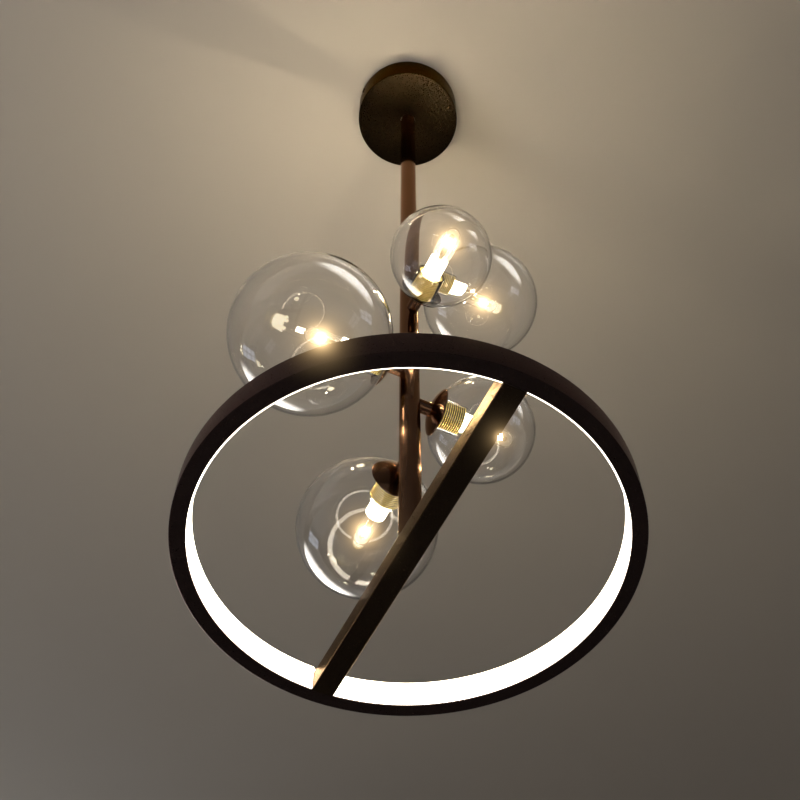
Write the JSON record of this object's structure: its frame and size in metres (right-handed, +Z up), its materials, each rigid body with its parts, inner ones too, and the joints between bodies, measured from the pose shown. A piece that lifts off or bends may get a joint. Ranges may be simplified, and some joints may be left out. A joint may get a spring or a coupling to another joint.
{
  "type": "orb chandelier",
  "caption": "Ceiling light with a straight stem, clear glass globes on short radial arms, and a lit ring hung level from a crossbar at the foot.",
  "frame": {"origin": "centre of the ceiling bracket's upper face, on the ceiling, where the stem's axis meets it", "axes": "+Z up into the ceiling, the stem along -Z, the crossbar along X; the arms point along +X, -Y, +Y, +Y and -X"},
  "size_m": [0.3599, 0.36, 0.933],
  "materials": {
    "bronze": "satin dark bronze lacquer",
    "black_ring": "fine satin powder coat, near black",
    "dark_screw": "blackened steel",
    "zinc_steel": "bright zinc plate",
    "brass_hub": "turned, unpolished",
    "aluminium_block": "milled",
    "driver_case": "moulded",
    "moulding": "moulded nylon",
    "flex": "heat-proof sleeve",
    "circuit_strip": "white solder mask",
    "led_phosphor": "phosphor face",
    "opal_diffuser": "opal acrylic, lit",
    "holder": "ribbed, bright",
    "socket_ceramic": "pressed, part glazed",
    "clear_glass": "clear, polished",
    "bulb_base": "white, smooth",
    "bulb_capsule": "frosted, lit"
  },
  "bodies": {
    "ceiling_plate": {"ceiling_bracket": "zinc_steel", "canopy": "bronze", "canopy_screws": "dark_screw", "led_driver": "driver_case", "terminal_block": "moulding", "earth_screw": "zinc_steel"},
    "hanging_frame": {"stem_tube": "bronze", "stem_collar": "zinc_steel", "collar_washer": "moulding", "collar_set_screw": "zinc_steel", "stem_wires": "flex", "arm_hubs": "brass_hub", "arm_wires": "flex", "arm_nuts": "zinc_steel", "socket_inserts": "socket_ceramic", "foot_plug": "brass_hub", "foot_nipple": "zinc_steel", "foot_nut": "zinc_steel", "crossbar": "bronze", "bar_end_blocks": "aluminium_block", "end_block_screws": "dark_screw", "bar_wire": "flex", "ring_frame": "black_ring", "led_strips": "circuit_strip", "led_chips": "led_phosphor", "diffuser_a": "opal_diffuser", "diffuser_b": "opal_diffuser", "arm_1": "bronze", "globe_cap_1": "bronze", "lampholder_1": "holder", "arm_2": "bronze", "globe_cap_2": "bronze", "lampholder_2": "holder", "arm_3": "bronze", "globe_cap_3": "bronze", "lampholder_3": "holder", "arm_4": "bronze", "globe_cap_4": "bronze", "lampholder_4": "holder", "arm_5": "bronze", "globe_cap_5": "bronze", "lampholder_5": "holder"},
    "globe_1": {"glass_globe_1": "clear_glass"},
    "bulb_1": {"bulb_base_1": "bulb_base", "bulb_capsule_1": "bulb_capsule"},
    "globe_2": {"glass_globe_2": "clear_glass"},
    "bulb_2": {"bulb_base_2": "bulb_base", "bulb_capsule_2": "bulb_capsule"},
    "globe_3": {"glass_globe_3": "clear_glass"},
    "bulb_3": {"bulb_base_3": "bulb_base", "bulb_capsule_3": "bulb_capsule"},
    "globe_4": {"glass_globe_4": "clear_glass"},
    "bulb_4": {"bulb_base_4": "bulb_base", "bulb_capsule_4": "bulb_capsule"},
    "globe_5": {"glass_globe_5": "clear_glass"},
    "bulb_5": {"bulb_base_5": "bulb_base", "bulb_capsule_5": "bulb_capsule"}
  },
  "joints": [
    {"name": "stem_swivel", "type": "hinge", "parent": "ceiling_plate", "child": "hanging_frame", "pos_m": [0, 0, -0.0445], "axis": [0, 0, 1], "range_deg": [-170, 170]},
    {"name": "globe_1_off", "type": "slide", "parent": "hanging_frame", "child": "globe_1", "axis": [1, 0, 0], "range_m": [0, 0.085]},
    {"name": "globe_2_off", "type": "slide", "parent": "hanging_frame", "child": "globe_2", "axis": [0, -1, 0], "range_m": [0, 0.085]},
    {"name": "globe_3_off", "type": "slide", "parent": "hanging_frame", "child": "globe_3", "axis": [0, 1, 0], "range_m": [0, 0.085]},
    {"name": "globe_4_off", "type": "slide", "parent": "hanging_frame", "child": "globe_4", "axis": [0, 1, 0], "range_m": [0, 0.085]},
    {"name": "globe_5_off", "type": "slide", "parent": "hanging_frame", "child": "globe_5", "axis": [-1, 0, 0], "range_m": [0, 0.085]},
    {"name": "bulb_1_out", "type": "slide", "parent": "hanging_frame", "child": "bulb_1", "axis": [1, 0, 0], "range_m": [0, 0.012]},
    {"name": "bulb_2_out", "type": "slide", "parent": "hanging_frame", "child": "bulb_2", "axis": [0, -1, 0], "range_m": [0, 0.012]},
    {"name": "bulb_3_out", "type": "slide", "parent": "hanging_frame", "child": "bulb_3", "axis": [0, 1, 0], "range_m": [0, 0.012]},
    {"name": "bulb_4_out", "type": "slide", "parent": "hanging_frame", "child": "bulb_4", "axis": [0, 1, 0], "range_m": [0, 0.012]},
    {"name": "bulb_5_out", "type": "slide", "parent": "hanging_frame", "child": "bulb_5", "axis": [-1, 0, 0], "range_m": [0, 0.012]}
  ]
}
